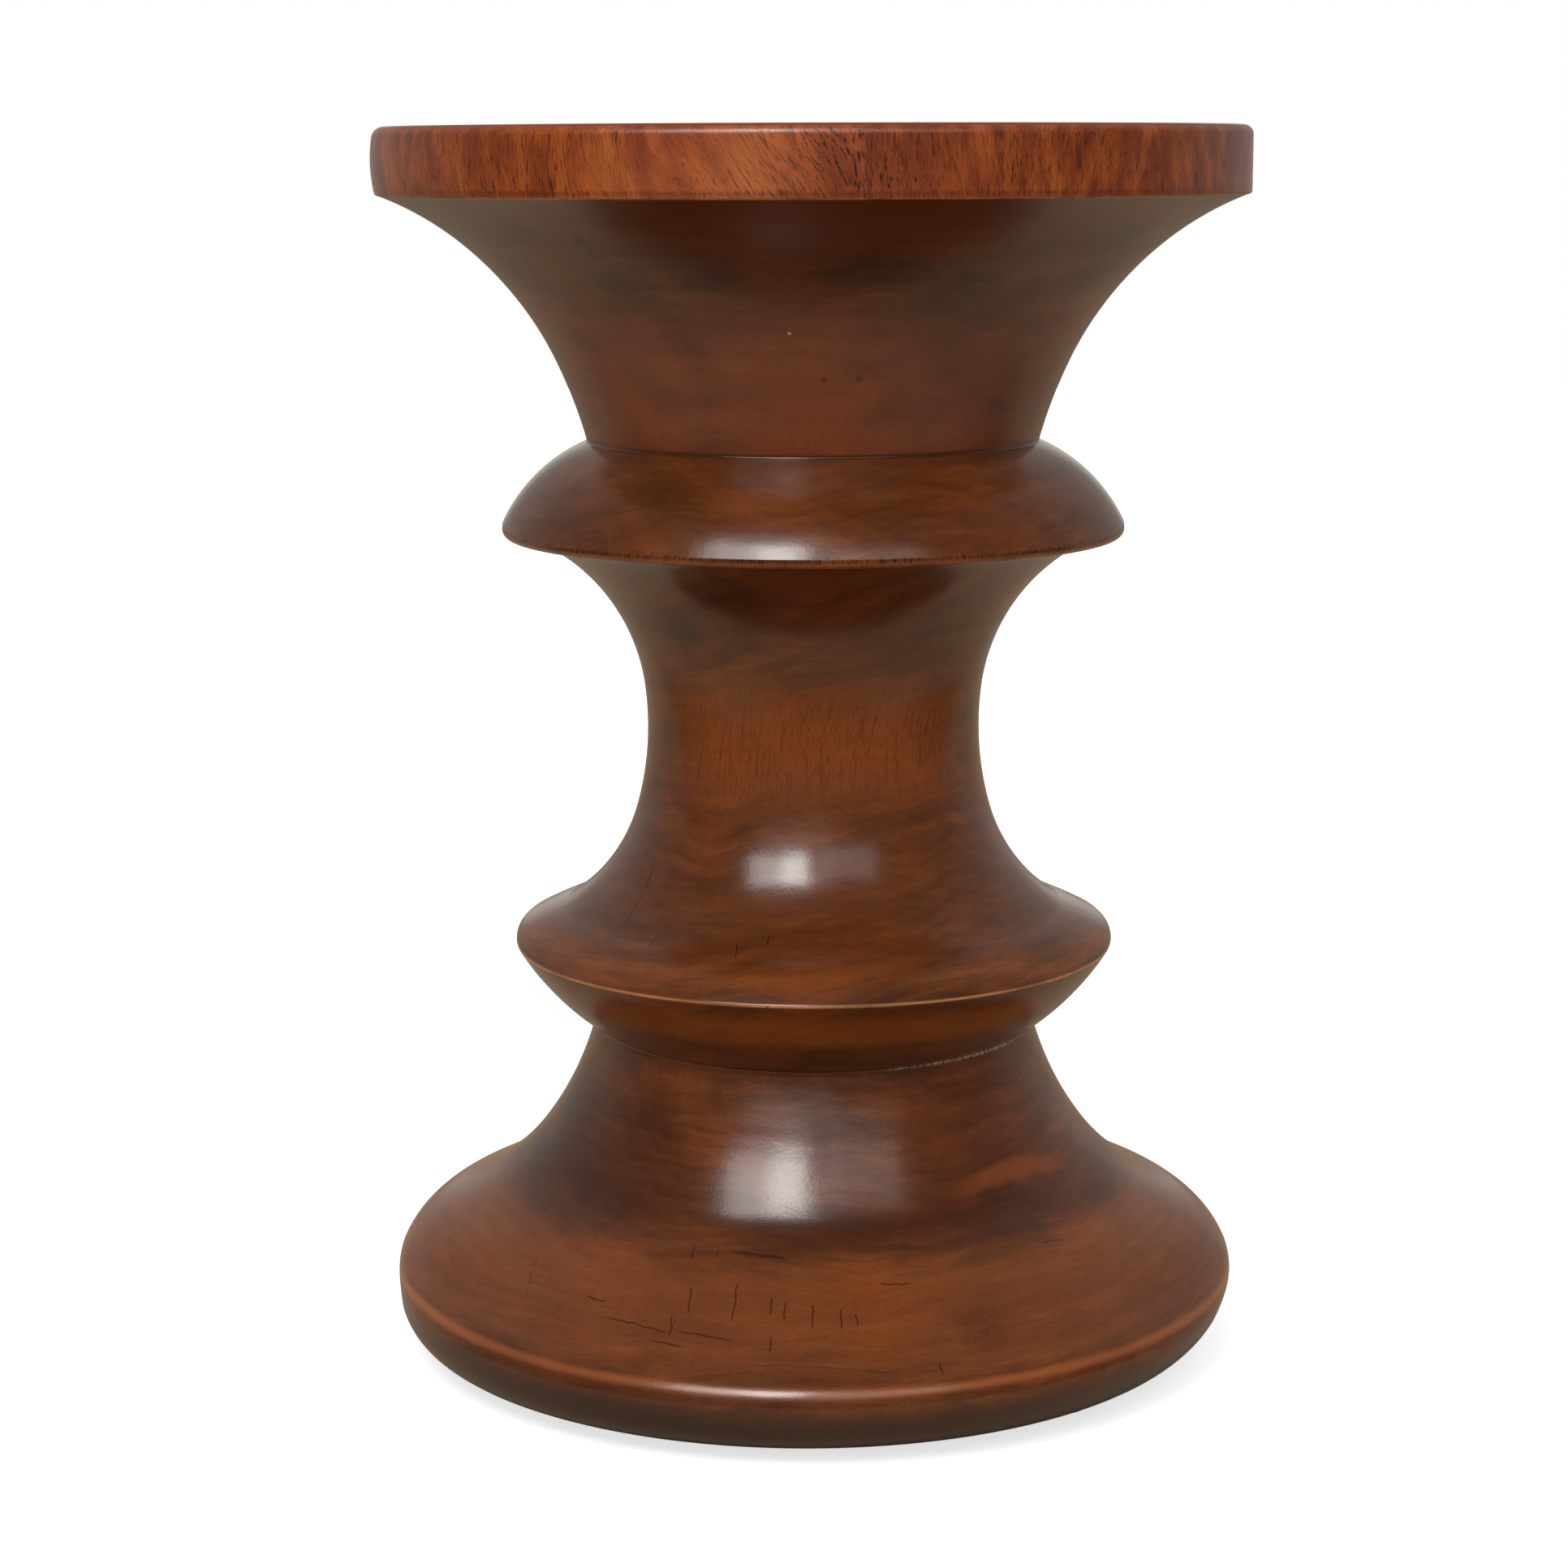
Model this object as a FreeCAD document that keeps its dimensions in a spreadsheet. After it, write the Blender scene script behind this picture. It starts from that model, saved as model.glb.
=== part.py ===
"""Round side table in the form of a tall drum: three turned hardwood sections on one upright axis.

The origin is the centre of the footprint on the floor, +Z is up and lengths are millimetres.
Every height in the sheet is measured from the floor, and every radius from the upright axis.
"""
import FreeCAD, Part
import math
import os

import Sketcher

Vector = FreeCAD.Vector

SIZES = {
    # the whole table
    "table_height": 506,
    "top_radius": 178,
    # top section: a plain rim over a flare that falls to the neck at the upper joint
    "rim_bottom": 478.8,
    "rim_top_round": 4,
    "rim_bottom_round": 1.2,
    "flare_middle_radius": 105,
    "flare_middle_height": 412.9,
    "flare_bend": 131,
    "upper_neck_radius": 92.6,
    "upper_joint_height": 379.7,
    # middle section: an upper ring, a waisted spool and a lower ring
    "upper_ring_bend": 66,
    "upper_lip_radius": 127.8,
    "upper_lip_top": 346.3,
    "upper_lip_bottom": 340.7,
    "upper_lip_round": 3.4,
    "spool_head_radius": 115,
    "spool_shoulder_radius": 69.8,
    "spool_shoulder_height": 277.9,
    "spool_head_bend": 80.6,
    "spool_ankle_radius": 73.5,
    "spool_ankle_height": 228.0,
    "spool_foot_radius": 103.9,
    "spool_foot_height": 186.7,
    "lower_ring_radius": 121.4,
    "lower_ring_height": 178.9,
    "lower_ring_bend": 175,
    "lower_arris_radius": 124.5,
    "lower_arris_height": 170.7,
    "lower_lip_bend": 8,
    "bowl_bend": 98,
    "lower_neck_radius": 91.9,
    "lower_joint_height": 137.7,
    # base section: a neck that spreads into a round-shouldered foot
    "neck_middle_radius": 114.7,
    "neck_middle_height": 90.0,
    "neck_bend": 138.4,
    "foot_slope_radius": 156.2,
    "foot_slope_height": 57.4,
    "foot_radius": 177,
    "foot_arris_height": 33.4,
    "shoulder_bend": 35,
    "foot_side_radius": 174.2,
    "foot_side_height": 19.1,
    "foot_side_bend": 100,
    "standing_radius": 153,
    "foot_bottom_bend": 25,
    "dish_radius": 118,
    "dish_depth": 3,
    # dowels across the two glued joints
    "dowel_radius": 10,
    "dowel_length": 80,
    "dowel_chamfer": 1.5,
    "dowel_circle_radius": 50,
    "flute_radius": 1.2,
    "dowel_hole_radius": 10.15,
    "glue_room": 2,
    # glides under the foot, each held by one nail
    "glide_radius": 12.5,
    "glide_thickness": 4,
    "glide_bevel": 0.8,
    "glide_circle_radius": 138,
    "nail_shank_radius": 1.4,
    "nail_head_radius": 3.2,
    "nail_head_thickness": 1.2,
    "nail_sink": 0.6,
    "nail_length": 16,
    "nail_point_length": 3,
    "nail_clearance": 0.1,
}
DOWELS_PER_JOINT = 4
FLUTES_PER_DOWEL = 10
GLIDES = 4
FIRST_FIXING_ANGLE = 45

# How an outline reaches its next point, seen walking down it: along a straight line, along a hollow or a
# round arc of a named radius, or along the arc that carries straight on from the arc before.
STRAIGHT = "straight"
HOLLOW = 1
ROUND = -1
ONWARD = "onward"

TOP_OUTLINE = [
    ("axis", "table_height", STRAIGHT, None),
    ("top_radius", "table_height", STRAIGHT, None),
    ("top_radius", "rim_bottom", STRAIGHT, None),
    ("flare_middle_radius", "flare_middle_height", HOLLOW, "flare_bend"),
    ("upper_neck_radius", "upper_joint_height", ONWARD, None),
    ("axis", "upper_joint_height", STRAIGHT, None),
]
MIDDLE_OUTLINE = [
    ("axis", "upper_joint_height", STRAIGHT, None),
    ("upper_neck_radius", "upper_joint_height", STRAIGHT, None),
    ("upper_lip_radius", "upper_lip_top", ROUND, "upper_ring_bend"),
    ("upper_lip_radius", "upper_lip_bottom", STRAIGHT, None),
    ("spool_head_radius", "upper_lip_bottom", STRAIGHT, None),
    ("spool_shoulder_radius", "spool_shoulder_height", HOLLOW, "spool_head_bend"),
    ("spool_ankle_radius", "spool_ankle_height", ONWARD, None),
    ("spool_foot_radius", "spool_foot_height", ONWARD, None),
    ("lower_ring_radius", "lower_ring_height", ROUND, "lower_ring_bend"),
    ("lower_arris_radius", "lower_arris_height", ROUND, "lower_lip_bend"),
    ("lower_neck_radius", "lower_joint_height", ROUND, "bowl_bend"),
    ("axis", "lower_joint_height", STRAIGHT, None),
]
BASE_OUTLINE = [
    ("axis", "lower_joint_height", STRAIGHT, None),
    ("lower_neck_radius", "lower_joint_height", STRAIGHT, None),
    ("neck_middle_radius", "neck_middle_height", HOLLOW, "neck_bend"),
    ("foot_slope_radius", "foot_slope_height", ONWARD, None),
    ("foot_radius", "foot_arris_height", ROUND, "shoulder_bend"),
    ("foot_side_radius", "foot_side_height", ROUND, "foot_side_bend"),
    ("standing_radius", "glide_thickness", ROUND, "foot_bottom_bend"),
    ("dish_radius", "glide_thickness", STRAIGHT, None),
    ("axis", "dish_top", STRAIGHT, None),
]


def make_sheet(doc):
    """Put every size in a sheet under its own name."""
    sheet = doc.addObject("Spreadsheet::Sheet", "sizes")
    for row, (name, value) in enumerate(SIZES.items(), start=1):
        sheet.set(f"A{row}", str(value))
        sheet.setAlias(f"A{row}", name)
    doc.recompute()
    return sheet


def make_body(doc, label):
    body = doc.addObject("PartDesign::Body", label)
    body.Label = label
    return body


def add_sketch(body, role, name, height_expression=None):
    """Attach a sketch to one of the body's own origin planes, raised along it where a height is given."""
    plane = next(feature for feature in body.Origin.OriginFeatures if feature.Role == role)
    sketch = body.newObject("Sketcher::SketchObject", name)
    sketch.AttachmentSupport = [(plane, "")]
    sketch.MapMode = "FlatFace"
    if height_expression:
        sketch.setExpression("AttachmentOffset.Base.z", height_expression)
    return sketch


def bind(sketch, constraint, expression):
    """Add a constraint and let the sheet drive it."""
    index = sketch.addConstraint(constraint)
    sketch.setExpression(f"Constraints[{index}]", expression)


def point_value(name):
    """The number behind an outline name, for the sketch's first guess."""
    if name == "axis":
        return 0.0
    if name == "dish_top":
        return SIZES["glide_thickness"] + SIZES["dish_depth"]
    return SIZES[name]


def point_expression(name):
    if name == "dish_top":
        return "sizes.glide_thickness + sizes.dish_depth"
    return f"sizes.{name}"


def bend_arc(start, end, side, radius):
    """The arc of a given radius between two points, hollow or round."""
    chord = end - start
    middle = (start + end) / 2
    rise = math.sqrt(radius ** 2 - (chord.Length / 2) ** 2)
    normal = Vector(-chord.y, chord.x, 0).normalize()
    centre = middle + normal * (rise * side)
    crown = centre - normal * (radius * side)
    first, last = (start, end) if side == HOLLOW else (end, start)
    return Part.Arc(first, crown, last), centre, side


def onward_arc(start, end, last_centre, last_side):
    """The arc that leaves the start point in the direction of the arc before."""
    inward = (last_centre - start).normalize() * last_side
    chord = end - start
    reach = chord.Length ** 2 / (2 * chord.dot(inward))
    side = HOLLOW if reach > 0 else ROUND
    return bend_arc(start, end, side, abs(reach))


def other_end(sketch, index, point):
    """The end of an edge that lies at a point: 1 for its start and 2 for its end."""
    edge = sketch.Geometry[index]
    return 1 if edge.StartPoint.distanceToPoint(point) < edge.EndPoint.distanceToPoint(point) else 2


def draw_outline(sketch, outline):
    """Draw half a turned section and tie every point and bend to the sheet."""
    points = [Vector(point_value(radius), point_value(height), 0) for radius, height, _, _ in outline]
    edges = []
    arc = None
    for start, end, (_, _, way, bend) in zip(points, points[1:], outline[1:]):
        if way == STRAIGHT:
            edges.append(sketch.addGeometry(Part.LineSegment(start, end), False))
        elif way == ONWARD:
            arc, centre, side = onward_arc(start, end, centre, side)
            edges.append(sketch.addGeometry(arc, False))
        else:
            arc, centre, side = bend_arc(start, end, way, SIZES[bend])
            edges.append(sketch.addGeometry(arc, False))
    edges.append(sketch.addGeometry(Part.LineSegment(points[-1], points[0]), False))

    for number, (point, (radius, height, way, bend)) in enumerate(zip(points, outline)):
        before = edges[number - 1]
        after = edges[number]
        before_end = other_end(sketch, before, point)
        after_end = other_end(sketch, after, point)
        carries_on = number + 1 < len(outline) and outline[number + 1][2] == ONWARD
        joint = "Tangent" if carries_on else "Coincident"
        sketch.addConstraint(Sketcher.Constraint(joint, before, before_end, after, after_end))
        if radius == "axis":
            sketch.addConstraint(Sketcher.Constraint("PointOnObject", after, after_end, -2))
        else:
            across = Sketcher.Constraint("DistanceX", -1, 1, after, after_end, point.x)
            bind(sketch, across, point_expression(radius))
        upward = Sketcher.Constraint("DistanceY", -1, 1, after, after_end, point.y)
        bind(sketch, upward, point_expression(height))
        if bend:
            bind(sketch, Sketcher.Constraint("Radius", before, SIZES[bend]), f"sizes.{bend}")


def revolve(body, sketch, axis, name):
    turned = body.newObject("PartDesign::Revolution", name)
    turned.Profile = sketch
    turned.ReferenceAxis = (sketch, [axis])
    turned.Angle = 360
    body.Tip = turned
    return turned


def ring_edge(shape, radius, height):
    """The name of the circular edge round the axis at a radius and height."""
    for number, edge in enumerate(shape.Edges, start=1):
        curve = edge.Curve
        if isinstance(curve, Part.Circle) and abs(curve.Radius - radius) < 1e-4:
            if abs(curve.Center.z - height) < 1e-4:
                return f"Edge{number}"
    raise RuntimeError(f"no edge of radius {radius} at height {height}")


def round_edge(doc, body, radius, height, size, name):
    """Fillet one circular edge of the body."""
    doc.recompute()
    base = body.Tip
    fillet = body.newObject("PartDesign::Fillet", name)
    fillet.Base = (base, [ring_edge(base.Shape, radius, height)])
    fillet.Radius = SIZES[size]
    fillet.setExpression("Radius", f"sizes.{size}")
    body.Tip = fillet
    return fillet


def bevel_edges(doc, body, radius, heights, size, name):
    """Chamfer the circular edges of the body at one radius."""
    doc.recompute()
    base = body.Tip
    chamfer = body.newObject("PartDesign::Chamfer", name)
    chamfer.Base = (base, [ring_edge(base.Shape, radius, height) for height in heights])
    chamfer.setExpression("Size", f"sizes.{size}")
    body.Tip = chamfer


def drill_ring(doc, body, name, height, circle, radius, depth, count, upward=False):
    """Drill one flat-bottomed hole at a height and repeat it round the axis."""
    doc.recompute()
    volume = body.Shape.Volume
    sketch = add_sketch(body, "XY_Plane", f"{name}_place", height)
    spot = sketch.addGeometry(Part.Circle(Vector(SIZES[circle], 0, 0), Vector(0, 0, 1), 1), False)
    sketch.addConstraint(Sketcher.Constraint("PointOnObject", spot, 3, -1))
    bind(sketch, Sketcher.Constraint("DistanceX", -1, 1, spot, 3, SIZES[circle]), f"sizes.{circle}")
    bind(sketch, Sketcher.Constraint("Radius", spot, 1), radius)
    hole = body.newObject("PartDesign::Pocket", name)
    hole.Profile = sketch
    hole.Reversed = upward
    hole.setExpression("Length", depth)
    body.Tip = hole
    repeat_round(body, hole, f"{name}s", count)
    doc.recompute()
    if body.Shape.Volume > volume - 1:
        raise RuntimeError(f"{name} removed nothing")


def repeat_round(body, feature, name, count):
    pattern = body.newObject("PartDesign::PolarPattern", name)
    pattern.Originals = [feature]
    pattern.Axis = (feature.Profile[0], ["N_Axis"])
    pattern.Angle = 360
    pattern.Occurrences = count
    body.Tip = pattern
    return pattern


def make_top_section(doc):
    """The round top and its flare, with blind holes in the joint face for the upper dowels."""
    body = make_body(doc, "top_section")
    sketch = add_sketch(body, "XZ_Plane", "top_outline")
    draw_outline(sketch, TOP_OUTLINE)
    revolve(body, sketch, "V_Axis", "top_turning")
    round_edge(doc, body, SIZES["top_radius"], SIZES["table_height"], "rim_top_round", "rim_top_arris")
    round_edge(doc, body, SIZES["top_radius"], SIZES["rim_bottom"], "rim_bottom_round", "rim_low_arris")
    drill_ring(doc, body, "upper_socket", "sizes.upper_joint_height", "dowel_circle_radius",
               "sizes.dowel_hole_radius", "sizes.dowel_length / 2 + sizes.glue_room",
               DOWELS_PER_JOINT, upward=True)
    return body


def make_middle_section(doc):
    """The two rings and the spool between them, with dowel holes in both ends."""
    body = make_body(doc, "middle_section")
    sketch = add_sketch(body, "XZ_Plane", "middle_outline")
    draw_outline(sketch, MIDDLE_OUTLINE)
    revolve(body, sketch, "V_Axis", "middle_turning")
    round_edge(doc, body, SIZES["upper_lip_radius"], SIZES["upper_lip_bottom"], "upper_lip_round",
               "upper_lip_arris")
    drill_ring(doc, body, "head_socket", "sizes.upper_joint_height", "dowel_circle_radius",
               "sizes.dowel_hole_radius", "sizes.dowel_length / 2", DOWELS_PER_JOINT)
    drill_ring(doc, body, "tail_socket", "sizes.lower_joint_height", "dowel_circle_radius",
               "sizes.dowel_hole_radius", "sizes.dowel_length / 2 + sizes.glue_room",
               DOWELS_PER_JOINT, upward=True)
    return body


def make_base_section(doc):
    """The neck and foot, dished underneath, with dowel holes above and pilot holes below."""
    body = make_body(doc, "base_section")
    sketch = add_sketch(body, "XZ_Plane", "base_outline")
    draw_outline(sketch, BASE_OUTLINE)
    revolve(body, sketch, "V_Axis", "base_turning")
    drill_ring(doc, body, "lower_socket", "sizes.lower_joint_height", "dowel_circle_radius",
               "sizes.dowel_hole_radius", "sizes.dowel_length / 2", DOWELS_PER_JOINT)
    drill_ring(doc, body, "pilot_hole", "sizes.glide_thickness", "glide_circle_radius",
               "sizes.nail_shank_radius + sizes.nail_clearance",
               "sizes.nail_length + sizes.nail_sink - sizes.glide_thickness + sizes.nail_clearance",
               GLIDES, upward=True)
    return body


def make_dowel(doc, label, joint_height, angle):
    """A chamfered dowel with glue flutes, standing half in the section below the joint."""
    body = make_body(doc, label)
    sketch = add_sketch(body, "XY_Plane", f"{label}_section")
    rod = sketch.addGeometry(Part.Circle(Vector(0, 0, 0), Vector(0, 0, 1), SIZES["dowel_radius"]), False)
    sketch.addConstraint(Sketcher.Constraint("Coincident", rod, 3, -1, 1))
    bind(sketch, Sketcher.Constraint("Radius", rod, SIZES["dowel_radius"]), "sizes.dowel_radius")
    pad = body.newObject("PartDesign::Pad", f"{label}_rod")
    pad.Profile = sketch
    pad.setExpression("Length", "sizes.dowel_length")
    body.Tip = pad
    ends = (0, SIZES["dowel_length"])
    bevel_edges(doc, body, SIZES["dowel_radius"], ends, "dowel_chamfer", f"{label}_ends")
    doc.recompute()
    groove = add_sketch(body, "XY_Plane", f"{label}_flute_place")
    flute = groove.addGeometry(Part.Circle(Vector(SIZES["dowel_radius"], 0, 0), Vector(0, 0, 1), 1), False)
    groove.addConstraint(Sketcher.Constraint("PointOnObject", flute, 3, -1))
    across = Sketcher.Constraint("DistanceX", -1, 1, flute, 3, SIZES["dowel_radius"])
    bind(groove, across, "sizes.dowel_radius")
    bind(groove, Sketcher.Constraint("Radius", flute, 1), "sizes.flute_radius")
    cut = body.newObject("PartDesign::Pocket", f"{label}_flute")
    cut.Profile = groove
    cut.Type = "ThroughAll"
    cut.Reversed = True
    body.Tip = cut
    repeat_round(body, cut, f"{label}_flutes", FLUTES_PER_DOWEL)
    body.setExpression("Placement.Base.x", f"sizes.dowel_circle_radius * cos({angle})")
    body.setExpression("Placement.Base.y", f"sizes.dowel_circle_radius * sin({angle})")
    body.setExpression("Placement.Base.z", f"sizes.{joint_height} - sizes.dowel_length / 2")
    return body


def make_glide(doc, label, angle):
    """A round glide with a stepped hole that sinks the nail's head clear of the floor."""
    body = make_body(doc, label)
    sketch = add_sketch(body, "XY_Plane", f"{label}_section")
    disc = sketch.addGeometry(Part.Circle(Vector(0, 0, 0), Vector(0, 0, 1), SIZES["glide_radius"]), False)
    sketch.addConstraint(Sketcher.Constraint("Coincident", disc, 3, -1, 1))
    bind(sketch, Sketcher.Constraint("Radius", disc, SIZES["glide_radius"]), "sizes.glide_radius")
    pad = body.newObject("PartDesign::Pad", f"{label}_disc")
    pad.Profile = sketch
    pad.setExpression("Length", "sizes.glide_thickness")
    body.Tip = pad
    bevel_edges(doc, body, SIZES["glide_radius"], (0,), "glide_bevel", f"{label}_edge")
    bores = [
        ("head_bore", "sizes.nail_head_radius + sizes.nail_clearance",
         "sizes.nail_sink + sizes.nail_head_thickness"),
        ("shank_bore", "sizes.nail_shank_radius + sizes.nail_clearance", "sizes.glide_thickness"),
    ]
    for name, radius, depth in bores:
        place = add_sketch(body, "XY_Plane", f"{label}_{name}_place")
        spot = place.addGeometry(Part.Circle(Vector(0, 0, 0), Vector(0, 0, 1), 1), False)
        place.addConstraint(Sketcher.Constraint("Coincident", spot, 3, -1, 1))
        bind(place, Sketcher.Constraint("Radius", spot, 1), radius)
        bore = body.newObject("PartDesign::Pocket", f"{label}_{name}")
        bore.Profile = place
        bore.Reversed = True
        bore.setExpression("Length", depth)
        body.Tip = bore
        doc.recompute()
    body.setExpression("Placement.Base.x", f"sizes.glide_circle_radius * cos({angle})")
    body.setExpression("Placement.Base.y", f"sizes.glide_circle_radius * sin({angle})")
    return body


def make_glide_nails(doc):
    """The four nails that hold the glides, as one group of separate solids."""
    body = make_body(doc, "glide_nails")
    body.AllowCompound = True
    sketch = add_sketch(body, "XZ_Plane", "nail_outline")
    middle = SIZES["glide_circle_radius"]
    head = middle + SIZES["nail_head_radius"]
    shank = middle + SIZES["nail_shank_radius"]
    low = SIZES["nail_sink"]
    collar = low + SIZES["nail_head_thickness"]
    tip = low + SIZES["nail_length"]
    taper = tip - SIZES["nail_point_length"]
    outline = [
        (middle, low, "sizes.glide_circle_radius", "sizes.nail_sink"),
        (head, low, "sizes.glide_circle_radius + sizes.nail_head_radius", "sizes.nail_sink"),
        (head, collar, "sizes.glide_circle_radius + sizes.nail_head_radius",
         "sizes.nail_sink + sizes.nail_head_thickness"),
        (shank, collar, "sizes.glide_circle_radius + sizes.nail_shank_radius",
         "sizes.nail_sink + sizes.nail_head_thickness"),
        (shank, taper, "sizes.glide_circle_radius + sizes.nail_shank_radius",
         "sizes.nail_sink + sizes.nail_length - sizes.nail_point_length"),
        (middle, tip, "sizes.glide_circle_radius", "sizes.nail_sink + sizes.nail_length"),
    ]
    points = [Vector(across, height, 0) for across, height, _, _ in outline]
    edges = []
    for start, end in zip(points, points[1:] + points[:1]):
        edges.append(sketch.addGeometry(Part.LineSegment(start, end), False))
    for number, (across, height, across_rule, height_rule) in enumerate(outline):
        sketch.addConstraint(Sketcher.Constraint("Coincident", edges[number - 1], 2, edges[number], 1))
        bind(sketch, Sketcher.Constraint("DistanceX", -1, 1, edges[number], 1, across), across_rule)
        bind(sketch, Sketcher.Constraint("DistanceY", -1, 1, edges[number], 1, height), height_rule)
    centre_line = sketch.addGeometry(Part.LineSegment(points[0], points[-1]), True)
    sketch.addConstraint(Sketcher.Constraint("Coincident", centre_line, 1, edges[0], 1))
    sketch.addConstraint(Sketcher.Constraint("Coincident", centre_line, 2, edges[-1], 1))
    nail = revolve(body, sketch, "Axis0", "nail")
    pattern = body.newObject("PartDesign::PolarPattern", "nails")
    pattern.Originals = [nail]
    pattern.Axis = (sketch, ["V_Axis"])
    pattern.Angle = 360
    pattern.Occurrences = GLIDES
    body.Tip = pattern
    body.Placement = FreeCAD.Placement(Vector(0, 0, 0), FreeCAD.Rotation(Vector(0, 0, 1), FIRST_FIXING_ANGLE))
    return body


def fixing_angles(count):
    return [FIRST_FIXING_ANGLE + 360 / count * number for number in range(count)]


def make_bodies(doc):
    bodies = [make_top_section(doc), make_middle_section(doc), make_base_section(doc)]
    turned = FreeCAD.Placement(Vector(0, 0, 0), FreeCAD.Rotation(Vector(0, 0, 1), FIRST_FIXING_ANGLE))
    for body in bodies:
        body.Placement = turned
    for joint, height in (("upper", "upper_joint_height"), ("lower", "lower_joint_height")):
        for number, angle in enumerate(fixing_angles(DOWELS_PER_JOINT), start=1):
            bodies.append(make_dowel(doc, f"{joint}_dowel_{number}", height, angle))
    for number, angle in enumerate(fixing_angles(GLIDES), start=1):
        bodies.append(make_glide(doc, f"glide_{number}", angle))
    bodies.append(make_glide_nails(doc))
    return bodies


def check(doc, bodies):
    """Stop at any object that failed and at any body without a sound shape."""
    for item in doc.Objects:
        if "Invalid" in item.State or "Error" in item.State:
            raise RuntimeError(f"{item.Label} failed: {item.State}")
    for body in bodies:
        if body.Shape.isNull() or not body.Shape.isValid():
            raise RuntimeError(f"{body.Label} has no sound shape")


def main():
    os.makedirs("parts", exist_ok=True)
    doc = FreeCAD.newDocument("drum_table")
    make_sheet(doc)
    bodies = make_bodies(doc)
    doc.recompute()
    check(doc, bodies)
    for body in bodies:
        box = body.Shape.optimalBoundingBox(False, False)
        print(f"{body.Label}: {len(body.Shape.Solids)} solid, {body.Shape.Volume / 1000:.1f} cm3, "
              f"z {box.ZMin:.1f} to {box.ZMax:.1f}")
        body.Shape.exportStep(f"parts/{body.Label}.step")


main()
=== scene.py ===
"""Dresses the drum side table: three turned, stained and lacquered hardwood sections in a white studio.

The geometry is in metres in the part's own frame: the origin is the centre of the footprint on the floor,
+Z is up, and the camera stands on the -Y side. A bearing is the angle round the axis, 0 at the front and
positive to the right. Materials work in millimetres, and their colours are written as sRGB bytes.
"""
import math

import bpy
import numpy as np
from mathutils import Matrix, Vector


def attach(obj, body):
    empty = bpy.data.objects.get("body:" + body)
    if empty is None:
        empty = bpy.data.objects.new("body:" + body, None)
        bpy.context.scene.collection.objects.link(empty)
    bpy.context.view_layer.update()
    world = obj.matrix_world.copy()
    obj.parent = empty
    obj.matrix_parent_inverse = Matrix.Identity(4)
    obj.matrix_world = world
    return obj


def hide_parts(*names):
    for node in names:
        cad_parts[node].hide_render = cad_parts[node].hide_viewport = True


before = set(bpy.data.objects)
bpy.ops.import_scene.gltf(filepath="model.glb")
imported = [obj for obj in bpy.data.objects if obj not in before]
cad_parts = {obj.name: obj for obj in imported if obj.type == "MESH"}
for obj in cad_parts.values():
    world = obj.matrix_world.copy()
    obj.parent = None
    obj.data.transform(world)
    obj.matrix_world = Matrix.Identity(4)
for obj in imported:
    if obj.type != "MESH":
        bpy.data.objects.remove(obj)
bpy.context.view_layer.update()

MM = 0.001

# Radii and heights of the turned outline, as in the part's source.
TABLE_HEIGHT = 506 * MM
TOP_RADIUS = 178 * MM
RIM_BOTTOM = 478.8 * MM
RIM_TOP_ROUND = 4 * MM
RIM_BOTTOM_ROUND = 1.2 * MM
FLARE_MIDDLE = (105 * MM, 412.9 * MM)
FLARE_BEND = 131 * MM
UPPER_NECK = 92.6 * MM
UPPER_JOINT = 379.7 * MM
UPPER_RING_BEND = 66 * MM
UPPER_LIP = 127.8 * MM
UPPER_LIP_TOP = 346.3 * MM
UPPER_LIP_BOTTOM = 340.7 * MM
UPPER_LIP_ROUND = 3.4 * MM
UPPER_LIP_EDGE = UPPER_LIP_BOTTOM + UPPER_LIP_ROUND
SPOOL_HEAD = 115 * MM
SPOOL_HEAD_BEND = 80.6 * MM
SPOOL_SHOULDER = (69.8 * MM, 277.9 * MM)
SPOOL_ANKLE = (73.5 * MM, 228.0 * MM)
SPOOL_FOOT = (103.9 * MM, 186.7 * MM)
LOWER_RING = (121.4 * MM, 178.9 * MM)
LOWER_RING_BEND = 175 * MM
LOWER_ARRIS = (124.5 * MM, 170.7 * MM)
LOWER_LIP_BEND = 8 * MM
BOWL_BEND = 98 * MM
LOWER_NECK = 91.9 * MM
LOWER_JOINT = 137.7 * MM
NECK_MIDDLE = (114.7 * MM, 90.0 * MM)
NECK_BEND = 138.4 * MM
FOOT_SLOPE = (156.2 * MM, 57.4 * MM)
FOOT_RADIUS = 177 * MM
FOOT_ARRIS = 33.4 * MM
SHOULDER_BEND = 35 * MM
FOOT_SIDE = (174.2 * MM, 19.1 * MM)
FOOT_SIDE_BEND = 100 * MM
STANDING_RADIUS = 153 * MM
FOOT_BOTTOM_BEND = 25 * MM
GLIDE_THICKNESS = 4 * MM
DISH_RADIUS = 118 * MM
DISH_DEPTH = 3 * MM

# Towards the front the lower ring and the foot slope straighter to their edges.
FRONT_RING_BEND = 50 * MM
FRONT_NECK = (116.4 * MM, 84.5 * MM)
FRONT_NECK_BEND = 150 * MM
FRONT_COVE = (124.5 * MM, 75.7 * MM)
FRONT_SLOPE = (172.9 * MM, 34.7 * MM)
FRONT_SIDE = (177 * MM, 25.6 * MM)
FRONT_EDGE_BEND = 12 * MM

# The front forms fade in between two cosines of the bearing, and outwards from an inner radius.
FRONT_FADE = (0.12, 0.71)
FRONT_INNER = 0.75 * LOWER_NECK

# What sanding and lacquer do to the edges and creases.
ARRIS_SOFTENING = 0.8 * MM
FOOT_ARRIS_SOFTENING = 5 * MM
HEAD_CREASE_SOFTENING = 1.5 * MM
UPPER_LIP_SOFTENING = 1.2 * MM
BEAD = 0.9 * MM

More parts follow.
